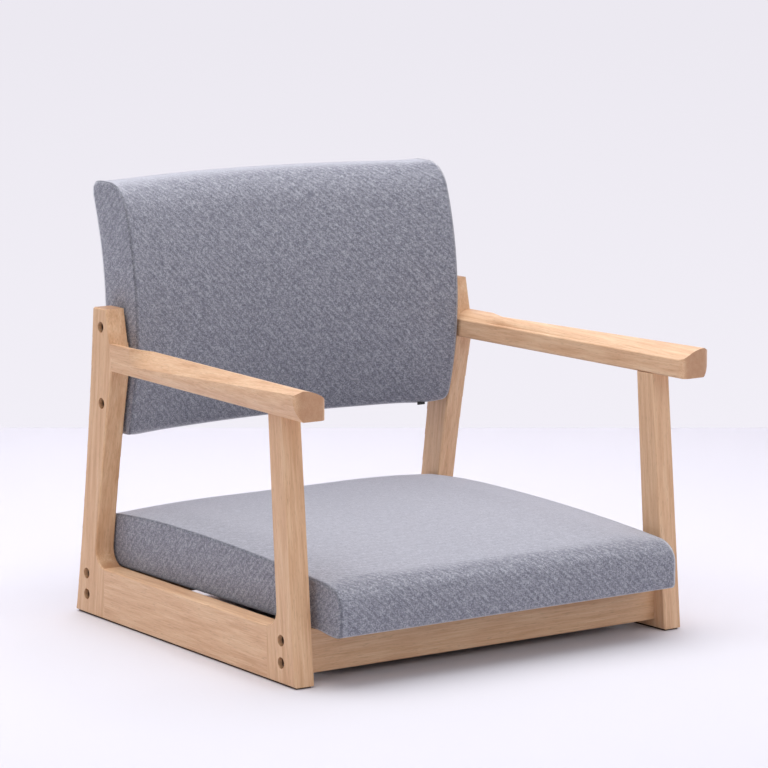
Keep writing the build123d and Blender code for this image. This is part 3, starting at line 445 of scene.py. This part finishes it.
def sew(cushion):
    """Folds the cover in along the seams of both side panels."""
    seam = cushion.vertex_groups["seam"].index
    sewn = [any(g.group == seam and g.weight > 0.99 for g in v.groups) for v in cushion.data.vertices]
    bpy.ops.object.mode_set(mode="EDIT")
    bpy.ops.mesh.select_mode(type="EDGE")
    bpy.ops.mesh.select_all(action="DESELECT")
    mesh = bmesh.from_edit_mesh(cushion.data)
    for edge in mesh.edges:
        edge.select = sewn[edge.verts[0].index] and sewn[edge.verts[1].index]
    bmesh.update_edit_mesh(cushion.data)
    bpy.ops.mesh.bevel(offset=SEAM_WIDTH, segments=2, profile=0.5, affect="EDGES")
    mesh = bmesh.from_edit_mesh(cushion.data)
    mesh.normal_update()
    folded = [v for v in mesh.verts if all(face.select for face in v.link_faces)]
    for vertex in folded:
        vertex.co -= vertex.normal * SEAM_DEPTH
    bmesh.update_edit_mesh(cushion.data)
    bpy.ops.object.mode_set(mode="OBJECT")
    cushion.vertex_groups.clear()


def finish_cushion(cushion, nodes):
    """Covers the cushion in the twill and lets it stand for its CAD nodes."""
    cushion.data.materials.clear()
    cushion.data.materials.append(twill)
    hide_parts(*nodes)
    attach(cushion, "root")


def round_corner(a, b, radius):
    """Moves a point near a square corner to the round one; a and b are its depths inside both faces."""
    if a >= radius or b >= radius:
        return a, b
    u, v = 1 - a / radius, 1 - b / radius
    return radius * (1 - u * math.sqrt(1 - v * v / 2)), radius * (1 - v * math.sqrt(1 - u * u / 2))


def edge_round(radii, x):
    """Radius of a rolled edge at x, from the one in the middle and the one at the side seams."""
    return radii[0] + (radii[1] - radii[0]) * (x / PAD_HALF_WIDTH) ** 4


# seat: the top slopes down to a rolled front edge, which hangs a little below the cross rails
seat_low, seat_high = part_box("seat_cover")
SEAT_FRONT, SEAT_REAR, SEAT_BOTTOM = seat_low[1] + 0.6 * MM, seat_high[1] - 0.4 * MM, seat_low[2]
SEAT_RIM = 127.0 * MM                   # height of the side seams where they are highest
SEAT_PEAK = SEAT_FRONT + 345 * MM
SEAT_TOP_RADIUS = 3.7                   # metres, of the top's slow fall to the front and rear
SEAT_FRONT_ROUND = (6 * MM, 27 * MM)
SEAT_REAR_ROUND = 17 * MM
SEAT_HEM_ROUND = (6 * MM, 5 * MM)       # of the lower edge: in front, at the rear
SEAT_FLARE = 3.0 * MM                   # wider in front on each side, as the side frames are toed in
REAR_CORNER_DROP = 4.5 * MM
REAR_CORNER_REACH = 140 * MM
LIP_START = SEAT_FRONT + 49 * MM        # the lip is the part of the underside that hangs lower in front
LIP_BLEND = 32 * MM
LIP_DROP = 3.4 * MM
HEM = 30 * MM                           # border of the underside, around its flat part
BOARD_REST = 0.7 * MM                   # how much higher that flat part lies
SEAT_BULGE = (0.9 * MM, 1.6 * MM, 5.2 * MM)
SEAT_GRID = (46, 62, 10)


def place_seat(x, y, z):
    """Where a point of the seat's square block goes."""
    front, top = round_corner(y - SEAT_FRONT, SEAT_RIM - z, edge_round(SEAT_FRONT_ROUND, x))
    rear, top = round_corner(SEAT_REAR - (SEAT_FRONT + front), top, SEAT_REAR_ROUND)
    rear, bottom = round_corner(rear, SEAT_RIM - top - SEAT_BOTTOM, SEAT_HEM_ROUND[1])
    front, bottom = round_corner(SEAT_REAR - rear - SEAT_FRONT, bottom, SEAT_HEM_ROUND[0])
    y, up = SEAT_FRONT + front, bottom / (SEAT_RIM - SEAT_BOTTOM)
    slope = SEAT_PEAK - y
    z = SEAT_BOTTOM + up * (SEAT_RIM - SEAT_BOTTOM - slope * slope / (2 * SEAT_TOP_RADIUS))
    lip = max(0.0, min(1.0, (LIP_START - y) / LIP_BLEND))
    z -= LIP_DROP * lip * lip * (3 - 2 * lip) * (1 - up) ** 2
    corner = max(0.0, 1 - math.hypot(SEAT_REAR - y, PAD_HALF_WIDTH - abs(x)) / REAR_CORNER_REACH)
    z -= REAR_CORNER_DROP * corner**2 * up
    x *= 1 + SEAT_FLARE / PAD_HALF_WIDTH * (SEAT_REAR - y) / (SEAT_REAR - SEAT_FRONT)
    return Vector((x, y, z))


low = (-PAD_HALF_WIDTH, SEAT_FRONT, SEAT_BOTTOM)
high = (PAD_HALF_WIDTH, SEAT_REAR, SEAT_RIM)
seat = cushion_blank("seat_cushion", low, high, SEAT_GRID)
seat_seam = shape_cushion(seat, low, high, place_seat)
underside = [i for i, v in enumerate(seat.data.vertices) if v.co.z < SEAT_BOTTOM + 0.5 * MM]
swell(seat, sorted({*seat_seam, *underside}), SEAT_BULGE)
for vertex in seat.data.vertices:
    inside = SEAT_FRONT + HEM < vertex.co.y < SEAT_REAR - HEM and abs(vertex.co.x) < seat_high[0] - HEM
    if inside and vertex.co.z < SEAT_BOTTOM + MM:
        vertex.co.z = SEAT_BOTTOM + BOARD_REST
sew(seat)
finish_cushion(seat, ["seat_cover", "seat_foam"])

# backrest: hollow from side to side, bowed forward at the small of the back
back_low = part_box("back_cover")[0]
BACK_BOTTOM = back_low[2] + 0.3 * MM
BACK_RIM = 514.6 * MM                   # top of the side panels
BACK_CROWN = 2.0 * MM                   # how much higher the top is in the middle
BACK_THICKNESS = 70.8 * MM
BACK_FRONT_ROUND = (35 * MM, 27 * MM)
BACK_REAR_ROUND = 21 * MM
BACK_HEM_ROUND = 9 * MM
BACK_CORNER_ROUND = 15 * MM
LUMBAR = 350 * MM
LUMBAR_FRONT = back_low[1] + 0.7 * MM
FRONT_BOW = 0.418                       # radii of the bows, in metres
REAR_BOW_ABOVE, REAR_BOW_BELOW = 0.425, 1.05
HOLLOW = 38 * MM
HOLLOW_HALF_WIDTH = 231 * MM
HOLLOW_RADIUS = (HOLLOW_HALF_WIDTH**2 + HOLLOW**2) / (2 * HOLLOW)
tab_low, tab_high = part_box("back_cover_tab")
TAB_X = (tab_low[0] + tab_high[0]) / 2
TAB_PULL = 1.2 * MM                     # the tab pulls the lower edge down where it is sewn in
TAB_REACH = 14 * MM
BACK_BULGE = (0.8 * MM, 1.8 * MM, 1.8 * MM)
BACK_GRID = (46, 10, 32)


def bow(radius, z):
    """How far an upright arc that is foremost at the lumbar height has gone back at z."""
    return radius - math.sqrt(radius**2 - (z - LUMBAR) ** 2)


def place_back(x, y, z):
    """Where a point of the backrest's square block goes; y is its depth behind the pad's front."""
    front, top = round_corner(y, BACK_RIM - z, edge_round(BACK_FRONT_ROUND, x))
    rear, top = round_corner(BACK_THICKNESS - front, top, BACK_REAR_ROUND)
    rear, bottom = round_corner(rear, BACK_RIM - top - BACK_BOTTOM, BACK_HEM_ROUND)
    front, bottom = round_corner(BACK_THICKNESS - rear, bottom, BACK_HEM_ROUND)
    side, bottom = round_corner(PAD_HALF_WIDTH - abs(x), bottom, BACK_CORNER_ROUND)
    x = math.copysign(PAD_HALF_WIDTH - side, x)
    up = bottom / (BACK_RIM - BACK_BOTTOM)
    z = BACK_BOTTOM + bottom + BACK_CROWN * up * (1 - (x / PAD_HALF_WIDTH) ** 2)
    z -= TAB_PULL * math.exp(-(((x - TAB_X) / TAB_REACH) ** 2)) * (1 - up) ** 8
    near = bow(FRONT_BOW, z)
    far = BACK_THICKNESS + bow(REAR_BOW_ABOVE if z > LUMBAR else REAR_BOW_BELOW, z)
    hollow = math.sqrt(HOLLOW_RADIUS**2 - x**2) - (HOLLOW_RADIUS - HOLLOW)
    return Vector((x, LUMBAR_FRONT + hollow + near + (far - near) * front / BACK_THICKNESS, z))


low = (-PAD_HALF_WIDTH, 0.0, BACK_BOTTOM)
high = (PAD_HALF_WIDTH, BACK_THICKNESS, BACK_RIM)
back = cushion_blank("back_cushion", low, high, BACK_GRID)
back_seam = shape_cushion(back, low, high, place_back)
swell(back, back_seam, BACK_BULGE)
sew(back)
finish_cushion(back, ["back_cover", "back_foam_front", "back_foam_rear"])


# ---- floor, backdrop, camera and lights --------------------------------------------------------
def studio_sheet(name, location, rotation, colour):
    """Paper sheet of the studio; returns its material's tree and shader."""
    bpy.ops.object.select_all(action="DESELECT")
    bpy.ops.mesh.primitive_plane_add(size=SHEET_SIZE, location=location, rotation=rotation)
    sheet = bpy.context.object
    sheet.name = name
    material, tree, shader = new_material(name + "_paper")
    shader.inputs["Base Color"].default_value = linear(colour)
    shader.inputs["Roughness"].default_value = 0.9
    shader.inputs["Specular IOR Level"].default_value = 0.1
    sheet.data.materials.append(material)
    return tree, shader


def soft_box(name, size, location, target, power):
    """Large rectangular lamp that faces its target; size and places in metres, power in watts."""
    light_data = bpy.data.lights.new(name, "AREA")
    light_data.shape = "RECTANGLE"
    light_data.size, light_data.size_y = size
    light_data.energy = power
    light = bpy.data.objects.new(name, light_data)
    light.location = location
    light.rotation_euler = (Vector(target) - Vector(location)).to_track_quat("-Z", "Y").to_euler()
    bpy.context.scene.collection.objects.link(light)


HEADING = math.radians(-34.92)
TILT = math.radians(8.99)
CAMERA_PLACE = Vector((-2.57185, -3.711575, 0.99601))
CAMERA_LENS = 183.566
CAMERA_FILM = 36.0
SHEET_SIZE = 14.0
WALL_DISTANCE = 5.87                    # from the camera to the wall's foot, along the floor

studio_sheet("studio_floor", (0, 0, 0), (0, 0, 0), "#E2E0E6")
away = Vector((-math.sin(HEADING), math.cos(HEADING), 0))
wall_foot = CAMERA_PLACE + away * WALL_DISTANCE
wall_turn = (math.radians(90), 0, HEADING)
wall_tree, wall_shader = studio_sheet("studio_wall", (wall_foot.x, wall_foot.y, 0), wall_turn, "#ECE9F1")
# the camera sees the wall evenly lit, a little lighter towards the floor
wall_place = add(wall_tree, "TexCoord")
wall_height = add(wall_tree, "SeparateXYZ", {"Vector": wall_place.outputs["Object"]})
wall_tone = add(
    wall_tree, "ValToRGB", {"Fac": wall_height.outputs["Y"]}, stops=[(0.0, "#F2EFF7"), (0.6, "#ECE9F1")]
)
even = add(wall_tree, "Emission", {"Color": wall_tone.outputs["Color"], "Strength": 1.0})
path = add(wall_tree, "LightPath")
seen = add(
    wall_tree,
    "Math",
    {0: path.outputs["Is Camera Ray"], 1: path.outputs["Is Glossy Ray"]},
    operation="MAXIMUM",
)
wall_mix = add(
    wall_tree,
    "MixShader",
    {"Fac": seen.outputs["Value"], 1: wall_shader.outputs["BSDF"], 2: even.outputs["Emission"]},
)
wall_tree.links.new(wall_mix.outputs["Shader"], wall_tree.nodes["Material Output"].inputs["Surface"])

camera_data = bpy.data.cameras.new("camera")
camera_data.lens = CAMERA_LENS
camera_data.sensor_width = CAMERA_FILM
camera = bpy.data.objects.new("camera", camera_data)
camera.location = CAMERA_PLACE
camera.rotation_euler = (math.radians(90) - TILT, 0, HEADING)
bpy.context.scene.collection.objects.link(camera)
bpy.context.scene.camera = camera

soft_box("overhead_box", (3.0, 3.0), (-0.1, 0.3, 2.3), (0, 0, 0.2), 70.0)
soft_box("left_box", (1.6, 1.6), (-2.6, -0.9, 1.4), (0, 0, 0.25), 4.6)
soft_box("front_box", (2.0, 1.4), (0.9, -3.0, 1.7), (0, 0, 0.3), 14.5)
world = bpy.context.scene.world or bpy.data.worlds.new("world")
bpy.context.scene.world = world
world.use_nodes = True
world.node_tree.nodes["Background"].inputs["Color"].default_value = linear("#F2F2FA")
world.node_tree.nodes["Background"].inputs["Strength"].default_value = 0.45
bpy.context.scene.view_settings.view_transform = "Standard"
